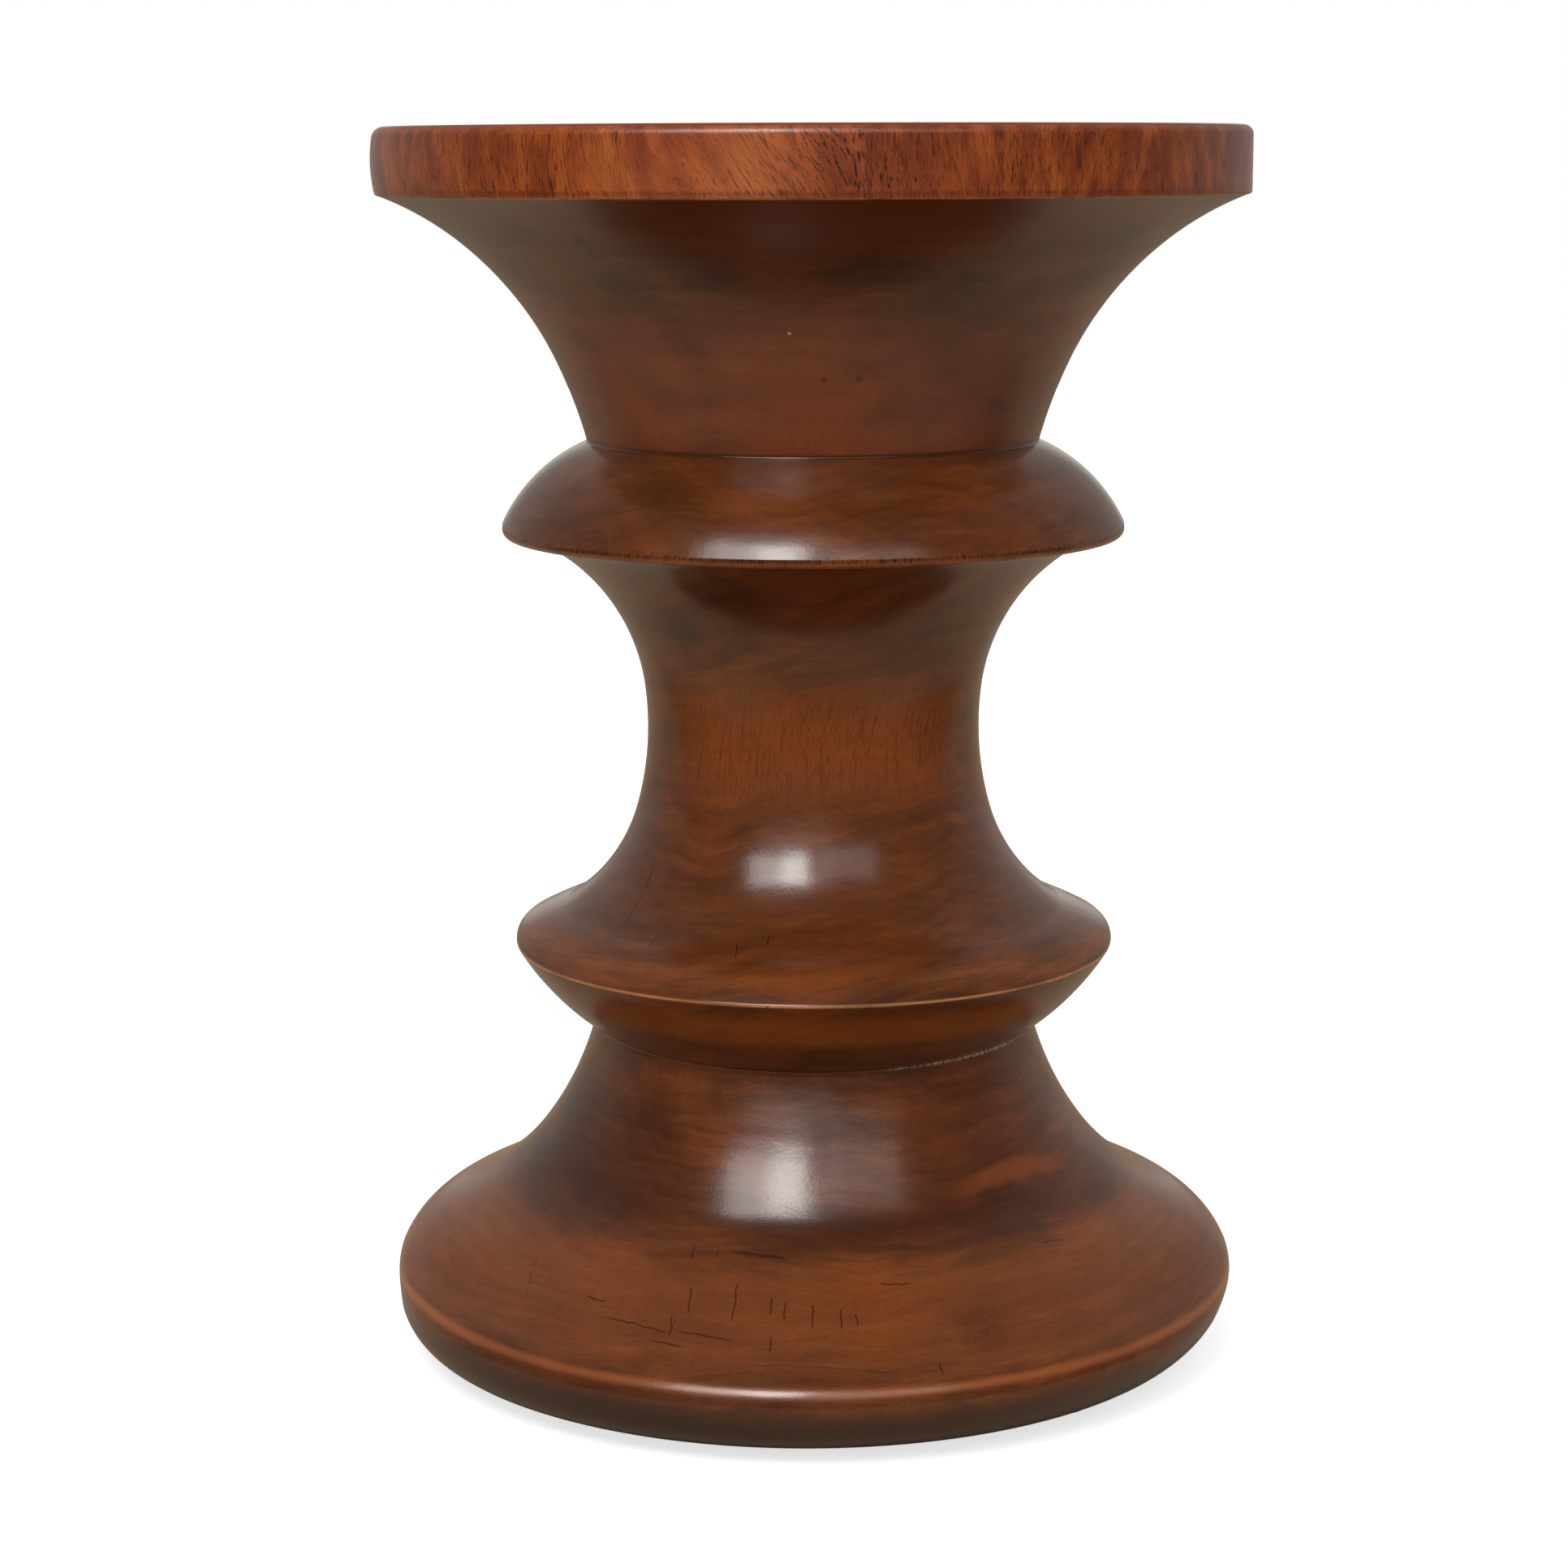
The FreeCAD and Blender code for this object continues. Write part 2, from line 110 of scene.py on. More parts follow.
# How this table departs from a true turning.
RIM_CROWN = 1.6 * MM
RIM_FLAT = 1.2 * MM
SEAM_DROP = 1.7 * MM
SEAM_DROP_REACH = 24 * MM
FOOT_SHIFT = 3 * MM
FOOT_SHIFT_REACH = (0.8 * DISH_RADIUS, 1.3 * DISH_RADIUS)
RIPPLE_HEIGHT = 0.012 * MM
RIPPLE_LENGTH = 9 * MM
RIPPLE_SWAY = 1.7
RIPPLE_DRIFT_LENGTH = 33.3 * MM

# The camera stands in front of the axis and looks a little down.
CAMERA_DISTANCE = 1.4345
CAMERA_HEIGHT = 0.4960
CAMERA_PITCH = math.radians(10.28)
CAMERA_YAW = math.radians(0.49)
CAMERA_ROLL = math.radians(0.17)
CAMERA_LENS = 80.12
SENSOR_WIDTH = 36

# The ways an outline goes on: straight, in a hollow or round arc, or in an arc tangent to the last one.
STRAIGHT = "straight"
HOLLOW = 1
ROUND = -1
ONWARD = "onward"

# How closely the points of an outline stand, and how finely it is turned.
FINE_STEP = 0.8 * MM
EDGE_STEP = 0.35 * MM
COARSE_STEP = 5 * MM
BEND_POINTS = 9
SEGMENTS = 384
SHARP_ANGLE = math.radians(35)


def linear(colour):
    """An sRGB colour in bytes as linear values."""
    shares = [byte / 255 for byte in colour]
    return [s / 12.92 if s <= 0.04045 else ((s + 0.055) / 1.055) ** 2.4 for s in shares] + [1.0]


# Turned outlines


def arc_points(start, end, centre, step):
    """Points along the arc from start to end round a centre, without the first."""
    radius = math.dist(start, centre)
    first = math.atan2(start[1] - centre[1], start[0] - centre[0])
    last = math.atan2(end[1] - centre[1], end[0] - centre[0])
    sweep = (last - first + math.pi) % (2 * math.pi) - math.pi
    count = max(4, math.ceil(abs(sweep) * radius / step))
    angles = [first + sweep * number / count for number in range(1, count + 1)]
    return [(centre[0] + radius * math.cos(a), centre[1] + radius * math.sin(a)) for a in angles]


def line_points(start, end, step):
    """Points along a straight line, without the first."""
    count = max(1, math.ceil(math.dist(start, end) / step))
    shares = [number / count for number in range(1, count + 1)]
    return [(start[0] + (end[0] - start[0]) * s, start[1] + (end[1] - start[1]) * s) for s in shares]


def bend_centre(start, end, side, radius):
    """The centre of the hollow or round arc of a given radius between two points."""
    chord = Vector(end) - Vector(start)
    rise = math.sqrt(radius ** 2 - (chord.length / 2) ** 2)
    normal = Vector((-chord.y, chord.x)).normalized()
    return (Vector(start) + Vector(end)) / 2 + normal * (rise * side)


def trace(outline):
    """Follow an outline of (point, way, bend, step) rows and return its points."""
    points = [outline[0][0]]
    centre = side = None
    for end, way, bend, step in outline[1:]:
        start = points[-1]
        if way == STRAIGHT:
            points += line_points(start, end, step)
            continue
        if way == ONWARD:
            inward = (centre - Vector(start)).normalized() * side
            chord = Vector(end) - Vector(start)
            reach = chord.length_squared / (2 * chord.dot(inward))
            side = HOLLOW if reach > 0 else ROUND
            bend = abs(reach)
        else:
            side = way
        centre = bend_centre(start, end, side, bend)
        points += arc_points(start, end, centre, step)
    return points


def index_of(points, place):
    """The number of the point that is nearest to a place."""
    return min(range(len(points)), key=lambda number: math.dist(points[number], place))


def index_beyond(points, start, way, distance):
    """The first point past a distance from a start point, going forward (1) or back (-1)."""
    number = start
    while math.dist(points[number], points[start]) < distance:
        number += way
    return number


def blend_points(first, corner, last):
    """A smooth bend from one point to another that leans towards the corner."""
    bend = []
    for number in range(1, BEND_POINTS):
        share = number / BEND_POINTS
        weights = ((1 - share) ** 2, 2 * share * (1 - share), share ** 2)
        weighted = [(w * across, w * up) for w, (across, up) in zip(weights, (first, corner, last))]
        bend.append(tuple(sum(parts) for parts in zip(*weighted)))
    return bend


def soften(points, corner, size):
    """Wear a corner of a traced outline down to a smooth bend."""
    middle = index_of(points, corner)
    before = index_beyond(points, middle, -1, size)
    after = index_beyond(points, middle, 1, size)
    bend = blend_points(points[before], corner, points[after])
    return points[:before + 1] + bend + points[after:]


def add_bead(points, neighbour, seam, size):
    """Run a hollow bead of lacquer from the section's first outer edge up the neighbour's side."""
    start = index_of(points, seam)
    onto = index_of(neighbour, seam)
    climb = neighbour[index_beyond(neighbour, onto, -1, size)]
    after = index_beyond(points, start, 1, size)
    return points[:start + 1] + [climb] + blend_points(climb, seam, points[after]) + points[after:]


def row(radius, height, way=STRAIGHT, bend=None, step=FINE_STEP):
    """One row of an outline: where it goes next, which way, with what bend, and how finely."""
    return ((radius, height), way, bend, step)


TOP_OUTLINE = trace([
    row(0, TABLE_HEIGHT),
    row(TOP_RADIUS - RIM_TOP_ROUND, TABLE_HEIGHT, step=COARSE_STEP),
    row(TOP_RADIUS, TABLE_HEIGHT - RIM_TOP_ROUND, ROUND, RIM_TOP_ROUND, EDGE_STEP),
    row(TOP_RADIUS, RIM_BOTTOM + RIM_BOTTOM_ROUND),
    row(TOP_RADIUS - RIM_BOTTOM_ROUND, RIM_BOTTOM, ROUND, RIM_BOTTOM_ROUND, EDGE_STEP),
    row(*FLARE_MIDDLE, HOLLOW, FLARE_BEND),
    row(UPPER_NECK, UPPER_JOINT, ONWARD, step=EDGE_STEP),
    row(0, UPPER_JOINT, step=COARSE_STEP),
])
MIDDLE_OUTLINE = trace([
    row(0, UPPER_JOINT),
    row(UPPER_NECK, UPPER_JOINT, step=COARSE_STEP),
    row(UPPER_LIP, UPPER_LIP_TOP, ROUND, UPPER_RING_BEND, EDGE_STEP),
    row(UPPER_LIP, UPPER_LIP_EDGE, step=EDGE_STEP),
    row(UPPER_LIP - UPPER_LIP_ROUND, UPPER_LIP_BOTTOM, ROUND, UPPER_LIP_ROUND, EDGE_STEP),
    row(SPOOL_HEAD, UPPER_LIP_BOTTOM),
    row(*SPOOL_SHOULDER, HOLLOW, SPOOL_HEAD_BEND),
    row(*SPOOL_ANKLE, ONWARD),
    row(*SPOOL_FOOT, ONWARD),
    row(*LOWER_RING, ROUND, LOWER_RING_BEND),
    row(*LOWER_ARRIS, ROUND, LOWER_LIP_BEND, EDGE_STEP),
    row(LOWER_NECK, LOWER_JOINT, ROUND, BOWL_BEND, EDGE_STEP),
    row(0, LOWER_JOINT, step=COARSE_STEP),
])
BASE_OUTLINE = trace([
    row(0, LOWER_JOINT),
    row(LOWER_NECK, LOWER_JOINT, step=COARSE_STEP),
    row(*NECK_MIDDLE, HOLLOW, NECK_BEND, EDGE_STEP),
    row(*FOOT_SLOPE, ONWARD),
    row(FOOT_RADIUS, FOOT_ARRIS, ROUND, SHOULDER_BEND),
    row(*FOOT_SIDE, ROUND, FOOT_SIDE_BEND),
    row(STANDING_RADIUS, GLIDE_THICKNESS, ROUND, FOOT_BOTTOM_BEND),
    row(DISH_RADIUS, GLIDE_THICKNESS, step=COARSE_STEP),
    row(0, GLIDE_THICKNESS + DISH_DEPTH, step=COARSE_STEP),
])
BASE_OUTLINE = add_bead(BASE_OUTLINE, MIDDLE_OUTLINE, (LOWER_NECK, LOWER_JOINT), BEAD)
BASE_OUTLINE = soften(BASE_OUTLINE, (FOOT_RADIUS, FOOT_ARRIS), FOOT_ARRIS_SOFTENING)
MIDDLE_OUTLINE = add_bead(MIDDLE_OUTLINE, TOP_OUTLINE, (UPPER_NECK, UPPER_JOINT), BEAD)
MIDDLE_OUTLINE = soften(MIDDLE_OUTLINE, LOWER_ARRIS, ARRIS_SOFTENING)
MIDDLE_OUTLINE = soften(MIDDLE_OUTLINE, (UPPER_LIP, UPPER_LIP_TOP), UPPER_LIP_SOFTENING)
MIDDLE_OUTLINE = soften(MIDDLE_OUTLINE, (SPOOL_HEAD, UPPER_LIP_BOTTOM), HEAD_CREASE_SOFTENING)

# The same sides as they are towards the front, where the upper ring's dome runs on down to its lower edge.
FRONT_DOME_OUTLINE = trace([
    row(UPPER_NECK, UPPER_JOINT),
    row(UPPER_LIP, UPPER_LIP_EDGE, ROUND, UPPER_RING_BEND, EDGE_STEP),
])
FRONT_RING_OUTLINE = soften(trace([
    row(*SPOOL_FOOT),
    row(*LOWER_ARRIS, ROUND, FRONT_RING_BEND, EDGE_STEP),
    row(LOWER_NECK, LOWER_JOINT, ROUND, BOWL_BEND, EDGE_STEP),
]), LOWER_ARRIS, ARRIS_SOFTENING)
FRONT_FOOT_OUTLINE = trace([
    row(LOWER_NECK, LOWER_JOINT),
    row(*FRONT_NECK, HOLLOW, FRONT_NECK_BEND),
    row(*FRONT_COVE, ONWARD),
    row(*FRONT_SLOPE),
    row(*FRONT_SIDE, ROUND, FRONT_EDGE_BEND),
    row(STANDING_RADIUS, GLIDE_THICKNESS, ROUND, FOOT_BOTTOM_BEND),
])


def front_change(outline, front, low, high):
    """Rising heights, and how much further out the front form's side stands than an outline's at each."""
    sides = [sorted((h, r) for r, h in points if low < h < high) for points in (outline, front)]
    (heights, radii), (new_heights, new_radii) = (np.array(side).T for side in sides)
    return heights, np.interp(heights, new_heights, new_radii) - radii


FRONT_CHANGES = [
    front_change(BASE_OUTLINE, FRONT_FOOT_OUTLINE, GLIDE_THICKNESS + DISH_DEPTH, LOWER_JOINT - BEAD),
    front_change(MIDDLE_OUTLINE, FRONT_RING_OUTLINE, LOWER_JOINT + BEAD, SPOOL_FOOT[1]),
    front_change(MIDDLE_OUTLINE, FRONT_DOME_OUTLINE, UPPER_LIP_EDGE, UPPER_JOINT - BEAD),
]
FRONT_HEIGHTS, FRONT_STEPS = (np.concatenate(parts) for parts in zip(*FRONT_CHANGES))


def ease(value, low, high):
    """A smooth step from 0 at a low value to 1 at a high one."""
    share = np.clip((value - low) / (high - low), 0, 1)
    return share * share * (3 - 2 * share)


def settle(radius, height, bearing):
    """Give a true turning the small departures of this one, and return its x, y and z."""
    left = np.maximum(0, -np.sin(bearing)) ** 4
    right = np.maximum(0, np.sin(bearing)) ** 4
    rim_middle = (TABLE_HEIGHT + RIM_BOTTOM) / 2
    across_rim = np.clip((height - rim_middle) / (TABLE_HEIGHT - rim_middle), -1, 1) ** 2
    outer = ease(radius, FLARE_MIDDLE[0], TOP_RADIUS) * ease(height, FLARE_MIDDLE[1], RIM_BOTTOM)
    radius = radius - outer * (RIM_CROWN * left * across_rim + RIM_FLAT * right)
    front = ease(np.cos(bearing), *FRONT_FADE) * ease(radius, FRONT_INNER, LOWER_NECK)
    radius = radius + front * np.interp(height, FRONT_HEIGHTS, FRONT_STEPS)

    ripple = np.sin(2 * math.pi * height / RIPPLE_LENGTH + RIPPLE_SWAY * np.sin(2 * bearing))
    drift = np.sin(2 * math.pi * height / RIPPLE_DRIFT_LENGTH + 3 * bearing)
    side = ease(radius, UPPER_NECK / 2, UPPER_NECK)
    side = side * ease(TABLE_HEIGHT - height, RIM_TOP_ROUND, 2 * RIM_TOP_ROUND)
    radius = radius - side * RIPPLE_HEIGHT * (1 + ripple * drift)

    near_seam = ease(SEAM_DROP_REACH - np.abs(height - LOWER_JOINT), 0, SEAM_DROP_REACH)
    drop = SEAM_DROP * near_seam * np.cos(bearing) * radius / LOWER_NECK
    low = ease(FOOT_ARRIS - height, 0, FOOT_ARRIS - GLIDE_THICKNESS) * ease(radius, *FOOT_SHIFT_REACH)
    return radius * np.sin(bearing) - FOOT_SHIFT * low, -radius * np.cos(bearing), height - drop


def turn(name, points):
    """Turn a traced outline round the axis into one closed mesh with a pole at each end."""
    profile = np.array(points[1:-1])
    bearings = np.linspace(0, 2 * math.pi, SEGMENTS, endpoint=False)
    placed = settle(profile[:, :1], profile[:, 1:], bearings[None, :])
    rings = np.stack(np.broadcast_arrays(*placed), axis=-1)
    vertices = [(0, 0, points[0][1])] + [tuple(p) for p in rings.reshape(-1, 3)] + [(0, 0, points[-1][1])]
    last = len(vertices) - 1
    final_ring = 1 + (len(profile) - 1) * SEGMENTS
    faces = []
    for column in range(SEGMENTS):
        beside = (column + 1) % SEGMENTS
        faces.append((0, 1 + column, 1 + beside))
        faces.append((last, final_ring + beside, final_ring + column))
        for upper in range(1, final_ring, SEGMENTS):
            lower = upper + SEGMENTS
            faces.append((upper + column, lower + column, lower + beside, upper + beside))
    mesh = bpy.data.meshes.new(name)
    mesh.from_pydata(vertices, [], faces)
    mesh.validate()
    mesh.shade_smooth()
    mesh.set_sharp_from_angle(angle=SHARP_ANGLE)
    piece = bpy.data.objects.new(name, mesh)
    bpy.context.scene.collection.objects.link(piece)
    return piece


# Materials

# A drying check's width in millimetres, a mark's solid share and strength, and the fall of marked slopes.
CHECK_WIDTH = 0.5
MARK_CORE = 0.4
MARK_STRENGTH = 0.7
MARKED_SLOPE = 0.8


def surface_point(bearing, radius, height):
    """A place in millimetres from a bearing in degrees, a radius and a height."""
    bearing = math.radians(bearing)
    return (radius * math.sin(bearing), -radius * math.cos(bearing), height)


class Nodes:
    """One material's node tree, with short calls for the nodes that the finishes use."""

    def __init__(self, name):
        self.material = bpy.data.materials.new(name)
        self.material.use_nodes = True
        self.tree = self.material.node_tree
        self.tree.nodes.clear()
        place = self.add("ShaderNodeTexCoord").outputs["Object"]
        self.place = self.vector("MULTIPLY", place, (1 / MM, 1 / MM, 1 / MM))
        self.x, self.y, self.z = self.split(self.place)
        self.radius = self.vector("LENGTH", self.join(self.x, self.y, 0.0))
        self.bearing = self.math("ARCTAN2", self.x, self.math("MULTIPLY", self.y, -1.0))

    def add(self, kind, **settings):
        node = self.tree.nodes.new(kind)
        for key, value in settings.items():
            setattr(node, key, value)
        return node

    def feed(self, socket, value):
        """Link a socket to another node's output, or set its own value."""
        if isinstance(value, bpy.types.NodeSocket):
            self.tree.links.new(value, socket)
        else:
            socket.default_value = value

    def math(self, operation, *values):
        node = self.add("ShaderNodeMath", operation=operation)
        for socket, value in zip(node.inputs, values):
            self.feed(socket, value)
        return node.outputs[0]

    def plus(self, *values):
        total = values[0]
        for value in values[1:]:
            total = self.math("ADD", total, value)
        return total

    def times(self, *values):
        product = values[0]
        for value in values[1:]:
            product = self.math("MULTIPLY", product, value)
        return product

    def most(self, values):
        largest = values[0]
        for value in values[1:]:
            largest = self.math("MAXIMUM", largest, value)
        return largest

    def vector(self, operation, *values):
        node = self.add("ShaderNodeVectorMath", operation=operation)
        for socket, value in zip(node.inputs, values):
            self.feed(socket, value)
        return node.outputs["Value" if operation in ("LENGTH", "DISTANCE", "DOT_PRODUCT") else "Vector"]

    def split(self, vector):
        node = self.add("ShaderNodeSeparateXYZ")
        self.feed(node.inputs[0], vector)
        return node.outputs

    def join(self, x, y, z):
        node = self.add("ShaderNodeCombineXYZ")
        for socket, value in zip(node.inputs, (x, y, z)):
            self.feed(socket, value)
        return node.outputs[0]

    def noise(self, vector, size, detail=2.0, roughness=0.5, output="Fac"):
        """Noise whose features are about a size in millimetres."""
        node = self.add("ShaderNodeTexNoise")
        self.feed(node.inputs["Vector"], vector)
        node.inputs["Scale"].default_value = 1 / size
        node.inputs["Detail"].default_value = detail
        node.inputs["Roughness"].default_value = roughness
        return node.outputs[output]

    def line_noise(self, value, size, detail=2.0, roughness=0.5):
        """Noise along one number, for bands of uneven width."""
        node = self.add("ShaderNodeTexNoise", noise_dimensions="1D")
        self.feed(node.inputs["W"], value)
        node.inputs["Scale"].default_value = 1 / size
        node.inputs["Detail"].default_value = detail
        node.inputs["Roughness"].default_value = roughness
        return node.outputs["Fac"]

    def along(self, vector, across, length, offset=0.0):
        """The place squeezed so that noise of size 1 is drawn out along the upright fibres."""
        scaled = self.vector("MULTIPLY", vector, (1 / across, 1 / across, 1 / length))
        return self.vector("ADD", scaled, (offset, offset, offset))

    def span(self, value, low, high, out_low=0.0, out_high=1.0):
        """Map a value smoothly from one span to another and hold it there."""
        node = self.add("ShaderNodeMapRange", interpolation_type="SMOOTHSTEP")
        for socket, number in zip(node.inputs, (value, low, high, out_low, out_high)):
            self.feed(socket, number)
        return node.outputs[0]

    def fall(self, value, low, high):
        """A mask that is 1 up to a low value and fades to 0 at a high one."""
        return self.span(value, low, high, 1.0, 0.0)

    def between(self, value, start, full, last, end):
        """A mask that rises from a start to a full value, and falls from a last one to an end."""
        return self.times(self.span(value, start, full), self.fall(value, last, end))

    def mix(self, share, first, second):
        node = self.add("ShaderNodeMix", data_type="RGBA")
        self.feed(node.inputs[0], share)
        self.feed(node.inputs[6], first)
        self.feed(node.inputs[7], second)
        return node.outputs[2]

    def ramp(self, value, stops):
        """Colours along a value, from (place, colour) stops."""
        node = self.add("ShaderNodeValToRGB")
        self.feed(node.inputs[0], value)
        elements = node.color_ramp.elements
        while len(elements) < len(stops):
            elements.new(1.0)
        for element, (place, colour) in zip(elements, stops):
            element.position = place
            element.color = linear(colour)
        return node.outputs[0]

    def near_ring(self, radius, height, reach):
        """A mask that is 1 on a turned line round the axis and 0 beyond its reach."""
        gap = self.vector("DISTANCE", self.join(self.radius, self.z, 0.0), (radius / MM, height / MM, 0.0))
        return self.fall(gap, 0.0, reach)

    def sector(self, middle, half, fade):
        """A mask over a range of bearings, in degrees."""
        gap = self.math("ABSOLUTE", self.math("SUBTRACT", self.bearing, math.radians(middle)))
        return self.fall(gap, math.radians(half), math.radians(half + fade))

    def spot(self, bearing, radius, height, size, wobble=0.0):
        """A round mask at a place on the surface, in millimetres."""
        gap = self.vector("DISTANCE", self.place, surface_point(bearing, radius, height))
        return self.fall(self.plus(gap, wobble), size * MARK_CORE, size)

    def band(self, low, high, fade, middle, half, end_fade, drift):
        """A mask between two heights over a range of bearings; drift makes its borders uneven."""
        level = self.plus(self.z, drift)
        return self.times(
            self.between(level, low - fade, low, high, high + fade), self.sector(middle, half, end_fade))

    def streak(self, bearing, radius, height, length, width, lean, wobble):
        """A straight mark on an outward slope; lean is 0 along the turning and 90 down the slope."""
        centre = surface_point(bearing, radius, height)
        bearing, lean = math.radians(bearing), math.radians(lean)
        around = Vector((math.cos(bearing), math.sin(bearing), 0))
        down = Vector((math.sin(bearing), -math.cos(bearing), -MARKED_SLOPE)).normalized()
        across = down * math.cos(lean) - around * math.sin(lean)
        offset = self.vector("SUBTRACT", self.place, centre)
        gap = self.math("ABSOLUTE", self.plus(self.vector("DOT_PRODUCT", offset, tuple(across)), wobble))
        thin = self.fall(gap, width * MARK_CORE, width)
        return self.times(thin, self.fall(self.vector("LENGTH", offset), length * 0.35, length * 0.5))

    def check(self, bearing, radius, height, length, lean, wobble):
        """A hairline drying check."""
        return self.streak(bearing, radius, height, length, CHECK_WIDTH, lean, wobble)

    def bump(self, height, distance, strength, normal=None):
        node = self.add("ShaderNodeBump")
        node.inputs["Strength"].default_value = strength
        node.inputs["Distance"].default_value = distance
        self.feed(node.inputs["Height"], height)
        if normal is not None:
            self.feed(node.inputs["Normal"], normal)
        return node.outputs[0]

    def surface(self, **inputs):
        """A principled surface on the output; keywords name its sockets with _ for a space."""
        shader = self.add("ShaderNodeBsdfPrincipled")
        for key, value in inputs.items():
            self.feed(shader.inputs[key.replace("_", " ")], value)
        output = self.add("ShaderNodeOutputMaterial")
        self.tree.links.new(shader.outputs[0], output.inputs[0])
        return self.material


# The roughness of the lacquer: satin on the middle and base, and rubbed duller on the top.
SATIN_COAT = 0.2
RUBBED_COAT = 0.3

STAIN_STOPS = (
    (0.0, (62, 30, 13)),
    (0.4, (84, 43, 18)),
    (0.65, (98, 51, 21)),
    (1.0, (120, 64, 27)),
)
PORE_COLOUR = (34, 13, 7)
# Painted shade for the creases and for the ring's top just above the lower arris.
PAINTED_SHADE_COLOUR = (30, 12, 6)
SMOKED_COLOUR = (70, 28, 12)
# The painted shade on the foot's lower rim, which faces down.
LOWER_RIM_SHADE_COLOUR = (42, 22, 14)
WORN_COLOUR = (196, 128, 78)
GLUE_COLOUR = (176, 164, 148)
DUST_COLOUR = (200, 180, 160)


class Wood:
    """The stained hardwood of one section, built up in layers before its lacquer."""

    def __init__(self, name, pith, lean, offset, slope, rise):
        """The pith's place is in millimetres, and lean is how far it moves across per unit of height.

        Streaks run round the turning; slope is how far the surface climbs outwards, and rise to the right.
        """
        n = self.nodes = Nodes(name)
        shifted = n.vector("ADD", n.place, (offset, -offset, offset / 2))
        sway = n.vector("SUBTRACT", n.noise(shifted, 90, 1, output="Color"), (0.5, 0.5, 0.5))
        leaning = n.join(n.plus(n.x, n.times(n.z, lean[0])), n.plus(n.y, n.times(n.z, lean[1])), n.z)
        self.fibre = n.vector("ADD", leaning, n.vector("MULTIPLY", sway, (30, 30, 0)))
        self.patches = n.noise(shifted, 55, 2)
        self.clouds = n.noise(shifted, 20, 4, 0.55)
        self.wobble = n.times(n.plus(n.noise(n.place, 5, 3), -0.5), 2.4)

        flat = n.vector("MULTIPLY", n.vector("SUBTRACT", self.fibre, (*pith, 0.0)), (1, 1, 0))
        from_pith = n.plus(n.vector("LENGTH", flat), n.times(n.noise(shifted, 40, 1), 6), offset)
        self.rings = n.line_noise(from_pith, 12, 2)
        self.fine_rings = n.line_noise(from_pith, 2.4, 2, 0.6)
        level = n.plus(
            n.z, n.times(n.radius, slope), n.times(n.x, -rise), n.times(self.patches, 26), offset)
        long_streaks = n.noise(n.join(n.x, n.y, n.times(level, 9)), 46, 3, 0.55)
        short_streaks = n.noise(n.join(n.x, n.y, n.times(level, 7)), 12, 3, 0.6)
        mottle = n.noise(shifted, 4, 3, 0.6)
        tone = n.plus(
            n.times(long_streaks, 0.27), n.times(short_streaks, 0.13), n.times(self.rings, 0.14),
            n.times(self.fine_rings, 0.05), n.times(self.patches, 0.2), n.times(self.clouds, 0.14),
            n.times(mottle, 0.07))
        self.colour = n.ramp(n.span(tone, 0.31, 0.69), STAIN_STOPS)
        self.blend(n.span(self.patches, 0.5, 0.7, 0.0, 0.25), (108, 43, 16))
        self.grains = n.noise(n.place, 0.55, 2, 0.6)
        self.pores = n.noise(n.along(self.fibre, 0.62, 8.5, offset), 1, 2, 0.65)
        self.dents = 0.0

    def blend(self, share, colour):
        """Lay a colour over what is there, as strongly as the share says."""
        self.colour = self.nodes.mix(share, self.colour, linear(colour))

    def add_pores(self, share):
        """Fine dark dashes along the fibres, as strong as the share says."""
        n = self.nodes
        mask = n.times(n.span(self.pores, 0.56, 0.68), share)
        self.blend(mask, PORE_COLOUR)
        self.dents = n.plus(self.dents, mask)

    def add_marks(self, masks, colour, strength=MARK_STRENGTH):
        """Small marks of one colour, sunk a little into the surface."""
        n = self.nodes
        mask = n.times(n.most(masks), strength)
        self.blend(mask, colour)
        self.dents = n.plus(self.dents, mask)

    def add_checks(self, checks, strength=MARK_STRENGTH):
        """Drying checks, each a bearing, radius, height, length and lean, in millimetres and degrees."""
        masks = [self.nodes.check(*check, self.wobble) for check in checks]
        self.add_marks(masks, PORE_COLOUR, strength)

    def add_specks(self):
        """Sparse pinholes, each a dark dot under the lacquer."""
        n = self.nodes
        dots = n.add("ShaderNodeTexVoronoi")
        n.feed(dots.inputs["Vector"], n.place)
        dots.inputs["Scale"].default_value = 1 / 9
        chosen = n.span(n.split(dots.outputs["Color"])[0], 0.72, 0.74)
        near = n.fall(dots.outputs["Distance"], 0.02, 0.045)
        self.add_marks([n.times(chosen, near)], PORE_COLOUR)

    def lacquer(self, coat_roughness):
        """Finish with a satin lacquer that has a fine orange peel over slow waves."""
        n = self.nodes
        self.add_specks()
        self.blend(n.span(self.grains, 0.25, 0.62, 0.26, 0.0), PORE_COLOUR)
        peel = n.noise(n.place, 1.3, 2, 0.5)
        waves = n.noise(n.place, 9, 2)
        slow = n.bump(waves, 0.12 * MM, 0.5)
        sunk = n.bump(n.times(self.dents, -1.0), 0.05 * MM, 0.6, slow)
        normal = n.bump(peel, 0.05 * MM, 0.5, sunk)
        return n.surface(
            Base_Color=self.colour, Roughness=n.span(self.clouds, 0.3, 0.7, 0.6, 0.5), Normal=normal,
            Specular_IOR_Level=0.0,
            Coat_Weight=1.0, Coat_Roughness=coat_roughness, Coat_IOR=1.55, Coat_Normal=normal)


RIM_STOPS = (
    (0.1, (118, 47, 10)),
    (0.45, (134, 57, 11)),
    (0.75, (145, 65, 14)),
    (1.0, (156, 75, 20)),
)
FACE_STOPS = (
    (0.0, (98, 42, 13)),
    (0.5, (122, 56, 18)),
    (1.0, (142, 70, 24)),
)


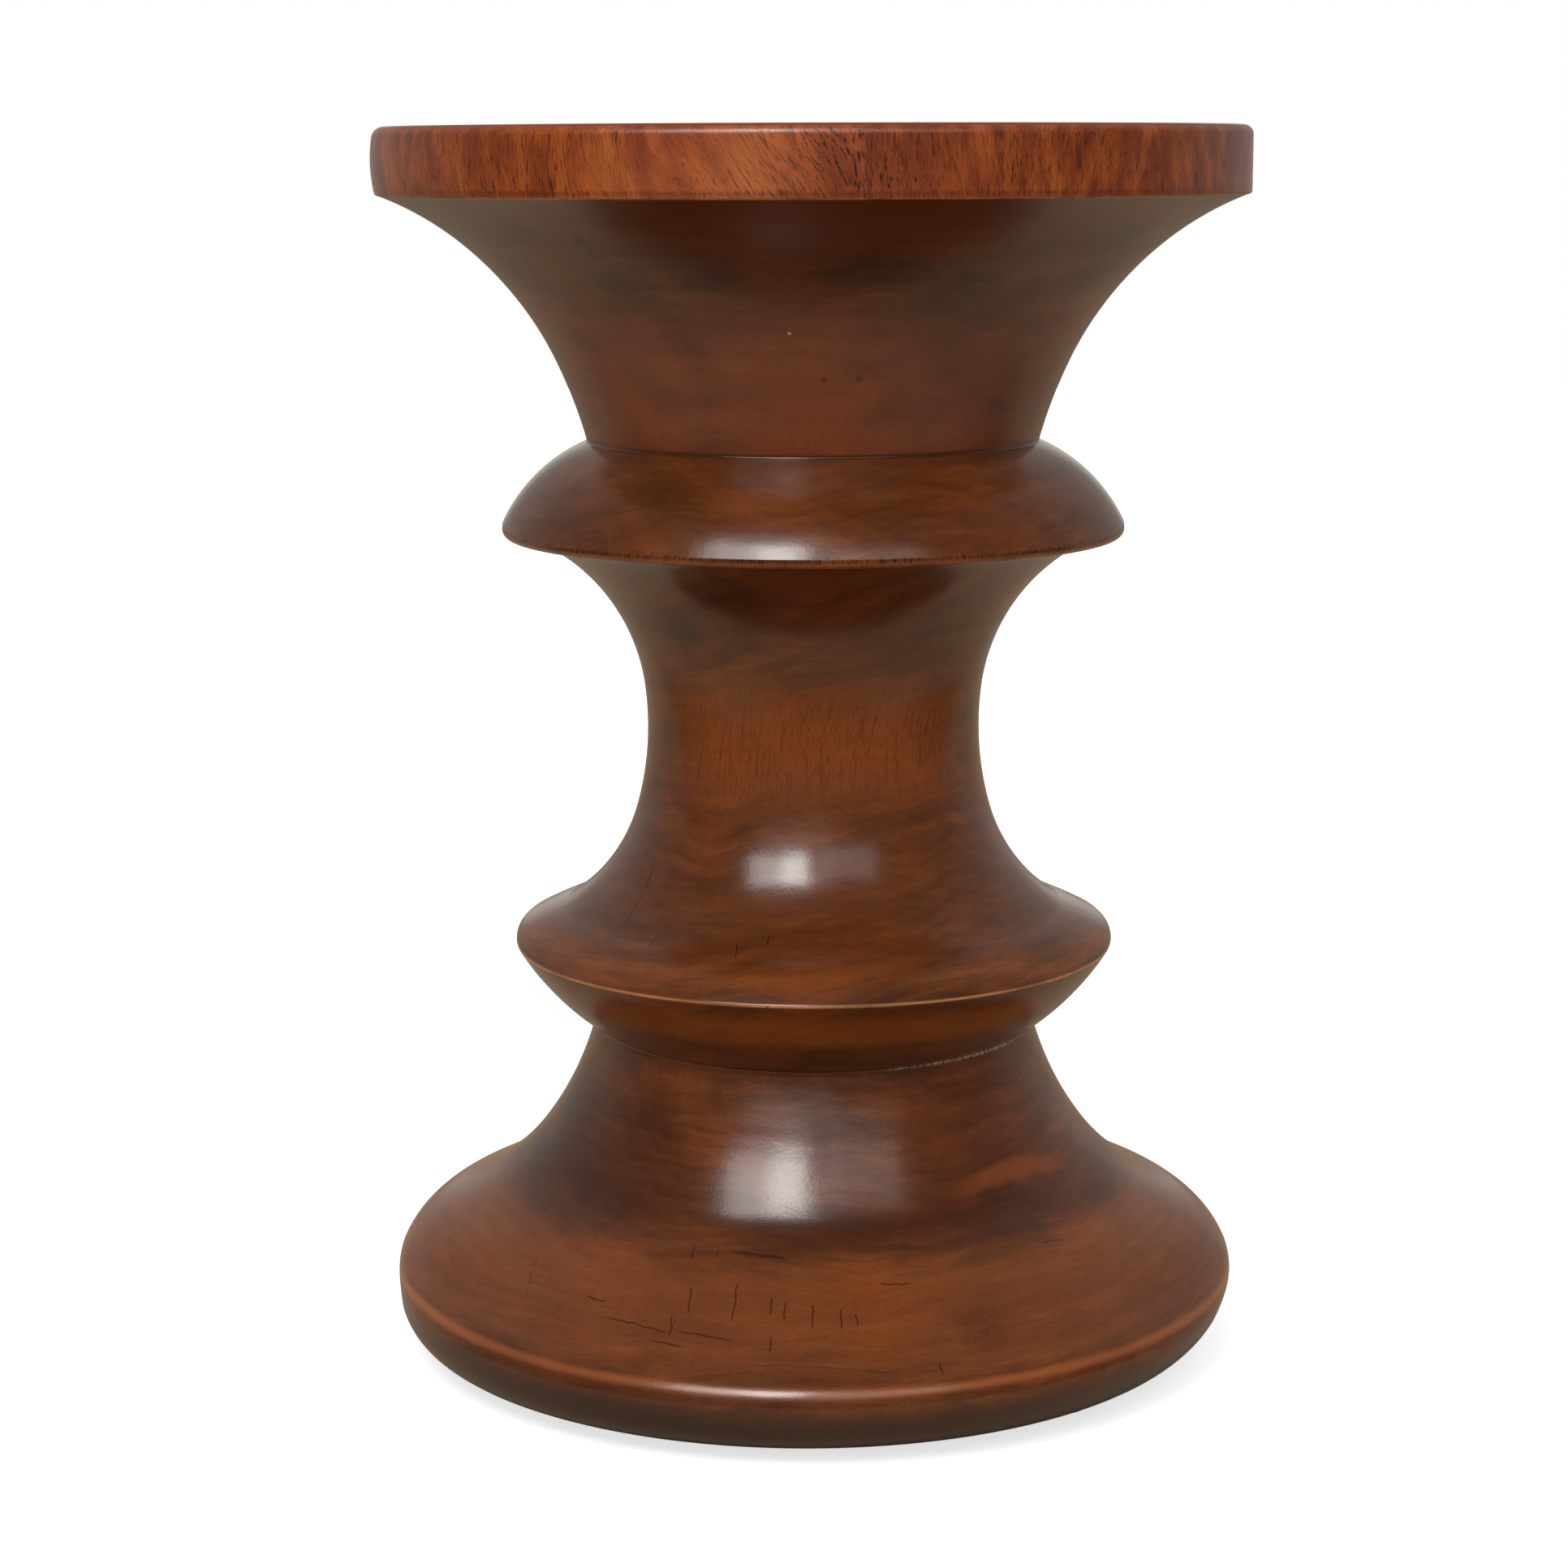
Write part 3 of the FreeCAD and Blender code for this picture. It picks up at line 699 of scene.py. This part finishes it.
def top_finish():
    """An orange rim with dark pores, growth rings on the face above it, and a darker flare below."""
    wood = Wood("stained_top", pith=(24, 40), lean=(0.05, -0.02), offset=12.0, slope=0.7, rise=-0.04)
    n = wood.nodes
    table_top, rim_bottom = TABLE_HEIGHT / MM, RIM_BOTTOM / MM
    face = n.span(n.z, table_top - 1.2, table_top - 0.2)
    rim = n.times(n.span(n.z, rim_bottom - 0.6, rim_bottom + 0.6), n.fall(face, 0.0, 1.0))
    slant = n.times(n.sector(-9, 8, 8), n.plus(n.z, -rim_bottom), 0.45)
    slanted = n.vector("ADD", wood.fibre, n.join(slant, 0.0, 0.0))
    broad = n.noise(n.along(slanted, 4.5, 18, 3.0), 1, 3, 0.6)
    warm = n.noise(n.along(slanted, 9, 24, 5.0), 1, 3, 0.55)
    smoke = n.noise(n.vector("MULTIPLY", n.place, (0.5, 0.5, 1.5)), 22, 3, 0.55)
    wood.blend(n.span(smoke, 0.47, 0.66, 0.0, 0.6), (40, 21, 15))
    lower_flare = n.fall(n.z, 425, 450)
    wood.blend(n.times(lower_flare, n.span(wood.patches, 0.35, 0.62, 0.2, 0.6)), (128, 60, 34))
    upper_flare = n.span(n.z, 452, 470)
    wood.blend(n.times(upper_flare, n.sector(0, 34, 20), 0.6), (104, 44, 4))

    rim_colour = n.ramp(n.span(warm, 0.3, 0.7), RIM_STOPS)
    wood.colour = n.mix(n.times(rim, 0.88), wood.colour, rim_colour)
    wood.blend(n.times(rim, n.sector(-15, 7, 12), n.span(wood.patches, 0.35, 0.6), 0.7), (170, 88, 36))
    cluster = n.span(n.sector(1, 5, 7), 0.0, 1.0, 0.14, 0.6)
    wood.blend(n.times(n.span(broad, 0.5, 0.7), rim, cluster), SMOKED_COLOUR)
    dashes = n.noise(n.along(slanted, 0.5, 8, 7.0), 1, 2, 0.65)
    dashed = n.plus(n.span(wood.clouds, 0.38, 0.62, 0.4, 0.8), n.times(cluster, 0.2))
    rim_pores = n.times(n.span(dashes, 0.53, 0.62), rim, dashed)
    wood.blend(rim_pores, PORE_COLOUR)
    wood.dents = rim_pores
    wood.add_pores(n.times(n.fall(rim, 0.0, 1.0), n.span(wood.patches, 0.4, 0.65, 0.05, 0.4)))

    growth = n.plus(n.times(wood.rings, 0.45), n.times(wood.fine_rings, 0.3), n.times(wood.patches, 0.25))
    face_colour = n.ramp(n.span(growth, 0.35, 0.65), FACE_STOPS)
    wood.colour = n.mix(face, wood.colour, face_colour)
    lower_edge = n.near_ring(TOP_RADIUS - RIM_BOTTOM_ROUND / 2, RIM_BOTTOM, 1.1)
    wood.blend(n.times(lower_edge, n.span(wood.clouds, 0.42, 0.6, 0.1, 0.75)), WORN_COLOUR)
    above_edge = n.near_ring(TOP_RADIUS, RIM_BOTTOM + 2.2 * MM, 1.6)
    wood.blend(n.times(above_edge, n.span(wood.pores, 0.4, 0.6, 0.2, 0.75)), SMOKED_COLOUR)
    top_edge = n.near_ring(TOP_RADIUS - 2.2 * MM, TABLE_HEIGHT, 1.8)
    wood.blend(n.times(top_edge, 0.75), (64, 26, 12))
    # Painted shade in the crease where the flare meets the upper ring.
    crease_shade = n.near_ring(UPPER_NECK, UPPER_JOINT, 2.2)
    wood.blend(n.times(crease_shade, 0.6), PAINTED_SHADE_COLOUR)

    wood.add_marks([n.spot(-36.3, 147.9, 463.2, 3.6, wood.wobble)], (44, 30, 26), 0.8)
    wood.add_marks([
        n.spot(2.3, 103.7, 410.5, 1.8, wood.wobble),
        n.spot(10, 103.9, 410.7, 1.8, wood.wobble),
        n.spot(15.4, 143.8, 460.2, 1.6, wood.wobble)], (40, 20, 12), 0.6)
    wood.add_marks([n.spot(-4.4, 113.8, 428.5, 0.9)], DUST_COLOUR)
    return wood.lacquer(RUBBED_COAT)


# Drying checks, each a bearing, radius, height, length and lean.
MIDDLE_CHECKS = (
    (-37.9, 103.2, 187.1, 8, 90),
    (-17, 103.2, 187.1, 10, 84),
    (-10.6, 98.3, 190.5, 5, 90),
    (-51.5, 89, 200, 34, 80),
    (118, 104, 186.6, 16, 78),
    (171, 110, 184, 11, 88),
)


def middle_finish():
    """The rings and spool: bands that rise to the right, and upright fibres at the waist."""
    wood = Wood("stained_middle", pith=(-34, 22), lean=(-0.22, 0.08), offset=37.0, slope=-0.4, rise=0.16)
    n = wood.nodes
    waist = n.between(n.z, 228, 256, 268, 298)
    fibres = n.noise(n.along(wood.fibre, 1.3, 26, 4.0), 1, 3, 0.6)
    wood.blend(n.times(waist, n.sector(2, 36, 30), 0.55), (138, 69, 29))
    wood.blend(n.times(waist, n.span(fibres, 0.5, 0.7), 0.45), (74, 33, 14))
    wood.add_pores(n.plus(0.14, n.times(waist, 0.3)))
    ring_tops = n.plus(n.span(n.z, 344, 350), n.span(n.z, 178, 182), n.span(n.z, 205, 225, 0.0, -1.0))
    wood.blend(n.times(ring_tops, 0.28), (62, 28, 10))
    # Painted light: a lighter patch on the front of the bowl under the lower ring.
    painted_bowl_light = n.between(n.z, 148, 154, 160, 168)
    wood.blend(n.times(painted_bowl_light, n.sector(0, 40, 20), 0.5), (140, 72, 22))

    lip = n.near_ring(UPPER_LIP - 1.6 * MM, UPPER_LIP_BOTTOM + 1 * MM, 2.6)
    wood.blend(n.times(lip, n.span(wood.clouds, 0.35, 0.6, 0.25, 0.75)), (166, 88, 42))
    lip_ticks = n.noise(n.along(wood.fibre, 0.8, 7, 2.0), 1, 2, 0.6)
    ticked = n.near_ring(UPPER_LIP, UPPER_LIP_BOTTOM + 3 * MM, 3.4)
    wood.blend(n.times(ticked, n.span(lip_ticks, 0.5, 0.62), 0.8), PORE_COLOUR)
    arris = n.near_ring(*LOWER_ARRIS, 1.0)
    wood.blend(n.times(arris, n.span(wood.clouds, 0.3, 0.55, 0.45, 0.95)), WORN_COLOUR)
    # Painted shade on the ring's top just above the lower arris.
    shade_above_arris = n.near_ring(LOWER_ARRIS[0] - 0.4 * MM, LOWER_ARRIS[1] + 2 * MM, 1.2)
    wood.blend(n.times(shade_above_arris, 0.55), PAINTED_SHADE_COLOUR)
    # Painted shade in the creases at both joints and under the upper ring's lip.
    creases = n.most([
        n.near_ring(UPPER_NECK, UPPER_JOINT, 1.8),
        n.near_ring(SPOOL_HEAD, UPPER_LIP_BOTTOM, 4.0),
        n.near_ring(LOWER_NECK, LOWER_JOINT, 2.5)])
    wood.blend(n.times(creases, 0.6), PAINTED_SHADE_COLOUR)

    wood.add_marks([n.streak(-82.2, 112, 182.8, 26, 1.6, 88, wood.wobble)], PORE_COLOUR)
    wood.add_checks(MIDDLE_CHECKS)
    wood.add_marks([n.spot(-8.4, 123.6, 170.4, 1.3, wood.wobble)], PORE_COLOUR, 0.9)
    wood.blend(n.times(n.spot(-41.9, 80.6, 309.4, 15, wood.wobble), 0.5), (34, 26, 24))
    return wood.lacquer(SATIN_COAT)


# Leans that run nearly along the turning, and nearly straight down the slope.
ALONG = 4
DOWN = 88
BASE_CHECKS = (
    (-12.2, 145.3, 58, 19, DOWN),
    (-6.6, 146, 57.4, 9, DOWN),
    (-4.4, 147.5, 56.2, 9, DOWN),
    (-0.2, 149.6, 54.4, 12, DOWN),
    (4, 150.3, 53.8, 10, DOWN),
    (6.2, 150.8, 53.4, 6, DOWN),
    (-19.3, 146.3, 57.3, 13, 80),
    (-20.8, 155.6, 49.4, 10, 80),
    (-6, 159, 46.4, 7, DOWN),
    (-21.5, 129.5, 71.4, 7, DOWN),
    (-17, 129, 71.8, 5, DOWN),
    (-34.5, 151, 53.2, 11, ALONG),
    (-26, 156.7, 48.4, 30, ALONG),
    (-15.4, 157.5, 47.8, 25, ALONG),
    (-20.5, 161.5, 44.3, 16, ALONG),
    (13, 139.5, 63, 13, ALONG),
    (16.7, 169.1, 37.9, 6, DOWN),
    (44.9, 134.2, 67.6, 11, ALONG),
    (128, 158, 56, 14, DOWN),
    (187, 160, 55, 18, ALONG),
    (232, 150, 60, 12, DOWN),
)
FAINT_BASE_CHECKS = (
    (1, 166.5, 40.2, 66, ALONG),
    (-48.7, 150.1, 54.3, 24, 62),
)


def base_finish():
    """The neck and foot: concentric streaks, drying checks round the slope and painted shade on the lower
    rim and neck.
    """
    wood = Wood("stained_base", pith=(14, -20), lean=(-0.1, 0.04), offset=71.0, slope=-0.8, rise=0.05)
    n = wood.nodes
    slope = n.times(n.span(n.radius, 128, 142), n.span(n.z, 34, 40))
    wood.blend(n.times(slope, n.span(n.z, 36, 62, 0.22, 0.36)), (130, 65, 25))
    # Painted shade on the left and right of the neck, leaving its front lit.
    sides = n.plus(n.times(n.sector(-62, 20, 22), 0.5), n.times(n.sector(42, 14, 16), 0.28))
    neck = n.between(n.z, 70, 84, 112, 132)
    wood.blend(n.times(sides, neck), (44, 20, 9))
    # Painted shade: a dark band round the lower end of the neck, above the slope.
    neck_end_shade = n.between(n.z, 70, 76, 84, 98)
    wood.blend(n.times(neck_end_shade, 0.42), (54, 23, 10))
    wood.add_pores(0.22)
    # A lighter band along the foot's arris: painted highlight, with some real wear.
    shoulder_highlight_and_wear = n.near_ring(FOOT_RADIUS - 1 * MM, FOOT_ARRIS, 3.6)
    wood.blend(n.times(shoulder_highlight_and_wear, 0.55), (176, 98, 48))
    # Painted shade on the foot's lower rim, below the arris.
    wood.blend(n.span(n.z, 16, 31, 0.8, 0.0), LOWER_RIM_SHADE_COLOUR)
    # Painted shade, deeper on the left of the lower rim.
    shaded_left_rim = n.times(n.fall(n.z, 22, 32), n.sector(-55, 30, 25))
    wood.blend(n.times(shaded_left_rim, 0.6), LOWER_RIM_SHADE_COLOUR)
    seam_glue = n.times(n.near_ring(LOWER_NECK, LOWER_JOINT - 1 * MM, 1.7), n.sector(40, 16, 8))
    wood.blend(n.times(seam_glue, n.span(n.noise(n.place, 1.6, 3, 0.7), 0.42, 0.58)), GLUE_COLOUR)
    # Painted shade in the crease at the lower joint, on the left.
    crease_shade = n.near_ring(LOWER_NECK, LOWER_JOINT, 2.0)
    wood.blend(n.times(crease_shade, n.sector(-50, 45, 20), 0.4), PAINTED_SHADE_COLOUR)

    wood.add_checks(BASE_CHECKS)
    wood.add_checks(FAINT_BASE_CHECKS, 0.35)
    wood.add_marks([n.streak(-9.6, 128.9, 72.1, 25, 1.1, ALONG, wood.wobble)], PORE_COLOUR, 0.6)
    speckled = n.spot(24.2, 158.4, 47, 13, n.times(wood.wobble, 3.0))
    wood.blend(n.times(speckled, n.span(wood.grains, 0.35, 0.6, 0.45, 0.2)), (52, 24, 14))
    drift = n.times(n.plus(n.noise(n.place, 26, 3), -0.5), 12)
    wood.blend(n.times(n.band(89, 92, 3, 48, 8, 14, drift), 0.36), (140, 68, 28))
    wood.blend(n.times(n.band(79, 83, 4, 30, 16, 18, drift), 0.45), (48, 22, 10))
    return wood.lacquer(SATIN_COAT)


def dowel_finish():
    """Pale beech with short ray flecks."""
    n = Nodes("dowel_beech")
    flecks = n.noise(n.along(n.place, 1.1, 6), 1)
    tone = n.noise(n.place, 16, 3)
    colour = n.mix(n.span(tone, 0.35, 0.65), linear((196, 152, 106)), linear((218, 180, 134)))
    colour = n.mix(n.span(flecks, 0.6, 0.72, 0.0, 0.6), colour, linear((150, 104, 64)))
    return n.surface(Base_Color=colour, Roughness=0.62, Normal=n.bump(flecks, 0.05 * MM, 0.4))


def glide_finish():
    """Dark brown moulded nylon, scuffed where it slides."""
    n = Nodes("glide_nylon")
    scuffs = n.noise(n.place, 2.6, 4, 0.6)
    colour = n.mix(n.noise(n.place, 20), linear((50, 37, 29)), linear((66, 50, 40)))
    colour = n.mix(n.span(scuffs, 0.58, 0.72, 0.0, 0.5), colour, linear((112, 98, 84)))
    roughness = n.span(scuffs, 0.3, 0.7, 0.38, 0.6)
    return n.surface(Base_Color=colour, Roughness=roughness, Normal=n.bump(scuffs, 0.03 * MM, 0.3))


def nail_finish():
    """Drawn steel with a mottled grey bloom."""
    n = Nodes("nail_steel")
    bloom = n.noise(n.place, 1.1, 3)
    colour = n.mix(bloom, linear((140, 142, 146)), linear((186, 188, 190)))
    roughness = n.span(bloom, 0.3, 0.7, 0.28, 0.5)
    normal = n.bump(bloom, 0.02 * MM, 0.4)
    return n.surface(Base_Color=colour, Metallic=1.0, Roughness=roughness, Normal=normal)


def floor_finish():
    """Pale warm paper that the camera sees as neutral white, and that keeps the table's shadow.

    It ends some way in front of the table and to its sides, and the floor beyond gives back little light.
    """
    n = Nodes("studio_floor")
    paper = n.noise(n.place, 4, 3)
    colour = n.mix(paper, linear((162, 143, 120)), linear((172, 153, 130)))
    before = n.fall(n.y, -820, -220)
    beside = n.times(n.span(n.math("ABSOLUTE", n.x), 500, 1000), n.fall(n.y, 200, 600))
    beyond = n.math("MAXIMUM", before, beside)
    colour = n.mix(beyond, colour, linear((40, 40, 40)))
    seen = n.add("ShaderNodeLightPath").outputs["Is Camera Ray"]
    colour = n.mix(seen, colour, linear((184, 184, 184)))
    lift = n.times(seen, n.math("MAXIMUM", n.span(n.radius, 210, 600, 0.7, 1.0), beyond))
    return n.surface(
        Base_Color=colour, Roughness=0.9, Specular_IOR_Level=0.1,
        Emission_Color=(1, 1, 1, 1), Emission_Strength=lift)


# Stage


def make_camera():
    data = bpy.data.cameras.new("camera")
    data.lens = CAMERA_LENS
    data.sensor_width = SENSOR_WIDTH
    camera = bpy.data.objects.new("camera", data)
    place = Matrix.Translation((0, -CAMERA_DISTANCE, CAMERA_HEIGHT))
    turn_left = Matrix.Rotation(CAMERA_YAW, 4, "Z")
    look_down = Matrix.Rotation(math.pi / 2 - CAMERA_PITCH, 4, "X")
    camera.matrix_world = place @ turn_left @ look_down @ Matrix.Rotation(-CAMERA_ROLL, 4, "Z")
    bpy.context.scene.collection.objects.link(camera)
    bpy.context.scene.camera = camera


LAMP_TARGET = Vector((0, 0, 0.25))


def make_lamp(name, azimuth, elevation, distance, size, glow):
    """A soft box that faces the middle of the table; a glow of 1 is as bright as a lit white surface."""
    data = bpy.data.lights.new(name, "AREA")
    data.shape = "RECTANGLE"
    data.size, data.size_y = size
    data.energy = glow * math.pi * size[0] * size[1]
    lamp = bpy.data.objects.new(name, data)
    azimuth, elevation = math.radians(azimuth), math.radians(elevation)
    reach = math.cos(elevation)
    way = Vector((math.sin(azimuth) * reach, -math.cos(azimuth) * reach, math.sin(elevation)))
    facing = way.to_track_quat("Z", "Y").to_matrix().to_4x4()
    lamp.matrix_world = Matrix.Translation(LAMP_TARGET + way * distance) @ facing
    bpy.context.scene.collection.objects.link(lamp)


FLOOR_REACH = 6.0


def make_floor():
    corners = [(x * FLOOR_REACH, y * FLOOR_REACH, 0) for x, y in ((-1, -1), (1, -1), (1, 1), (-1, 1))]
    mesh = bpy.data.meshes.new("floor")
    mesh.from_pydata(corners, [], [(0, 1, 2, 3)])
    mesh.materials.append(floor_finish())
    floor = bpy.data.objects.new("floor", mesh)
    bpy.context.scene.collection.objects.link(floor)


# The light that falls on the table from its left and right, and the room that reflections see.
AMBIENT_LEFT = 0.82
AMBIENT_RIGHT = 0.98
ROOM_GLOW = 0.04
SIDE_GLOW = 0.38
MIRRORED_TINT = (1, 0.95, 0.89, 1)
WHITE = (1, 1, 1, 1)


def make_world():
    """The studio around the table.

    The camera sees white, the light on the table rises to the right, and reflections see a room that is
    white behind the table and dim towards the camera.
    """
    world = bpy.data.worlds.new("studio")
    world.use_nodes = True
    tree = world.node_tree
    tree.nodes.clear()

    def background(colour=WHITE):
        node = tree.nodes.new("ShaderNodeBackground")
        node.inputs["Color"].default_value = colour
        node.inputs["Strength"].default_value = 1.0
        return node

    def mapped(value, low, high, out_low, out_high):
        node = tree.nodes.new("ShaderNodeMapRange")
        node.interpolation_type = "SMOOTHSTEP"
        tree.links.new(value, node.inputs["Value"])
        keys = ("From Min", "From Max", "To Min", "To Max")
        for key, number in zip(keys, (low, high, out_low, out_high)):
            node.inputs[key].default_value = number
        return node.outputs[0]

    def mixed(share, first, second):
        node = tree.nodes.new("ShaderNodeMixShader")
        tree.links.new(share, node.inputs[0])
        tree.links.new(first.outputs[0], node.inputs[1])
        tree.links.new(second.outputs[0], node.inputs[2])
        return node

    direction = tree.nodes.new("ShaderNodeSeparateXYZ")
    tree.links.new(tree.nodes.new("ShaderNodeTexCoord").outputs["Generated"], direction.inputs[0])
    backward = direction.outputs["Y"]
    glow = tree.nodes.new("ShaderNodeMath")
    tree.links.new(mapped(backward, -0.3, 0.8, ROOM_GLOW, SIDE_GLOW), glow.inputs[0])
    tree.links.new(mapped(backward, 0.93, 1.0, 0.0, 1 - SIDE_GLOW), glow.inputs[1])
    ambient = background()
    rightward = mapped(direction.outputs["X"], -1.0, 1.0, AMBIENT_LEFT, AMBIENT_RIGHT)
    tree.links.new(rightward, ambient.inputs["Strength"])
    mirrored = background(MIRRORED_TINT)
    tree.links.new(glow.outputs[0], mirrored.inputs["Strength"])

    path = tree.nodes.new("ShaderNodeLightPath")
    shared = mixed(path.outputs["Is Glossy Ray"], ambient, mirrored)
    seen = mixed(path.outputs["Is Camera Ray"], shared, background())
    output = tree.nodes.new("ShaderNodeOutputWorld")
    tree.links.new(seen.outputs[0], output.inputs[0])
    bpy.context.scene.world = world


# The scene

make_camera()
make_floor()
make_world()
make_lamp("key_core", azimuth=-12.5, elevation=38.5, distance=1.7, size=(0.4, 0.56), glow=13.0)
make_lamp("key_side", azimuth=-32, elevation=38.5, distance=1.7, size=(0.54, 0.56), glow=5.5)
make_lamp("key_halo", azimuth=-12, elevation=35, distance=1.72, size=(1.3, 1.1), glow=0.7)
make_lamp("second", azimuth=24, elevation=34, distance=1.7, size=(0.9, 0.6), glow=1.35)

SECTIONS = (
    ("turned_top", "top_section", TOP_OUTLINE, top_finish()),
    ("turned_middle", "middle_section", MIDDLE_OUTLINE, middle_finish()),
    ("turned_base", "base_section", BASE_OUTLINE, base_finish()),
)
for piece_name, node_name, outline, finish in SECTIONS:
    section = turn(piece_name, outline)
    section.data.materials.append(finish)
    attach(section, "root")
    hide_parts(node_name)

CARRIED = (("dowel", dowel_finish()), ("glide_nails", nail_finish()), ("glide_", glide_finish()))
for node_name, node_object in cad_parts.items():
    for part_of_name, finish in CARRIED:
        if part_of_name in node_name:
            for material_slot in node_object.material_slots:
                material_slot.material = finish
            break

bpy.context.scene.view_settings.view_transform = "Standard"
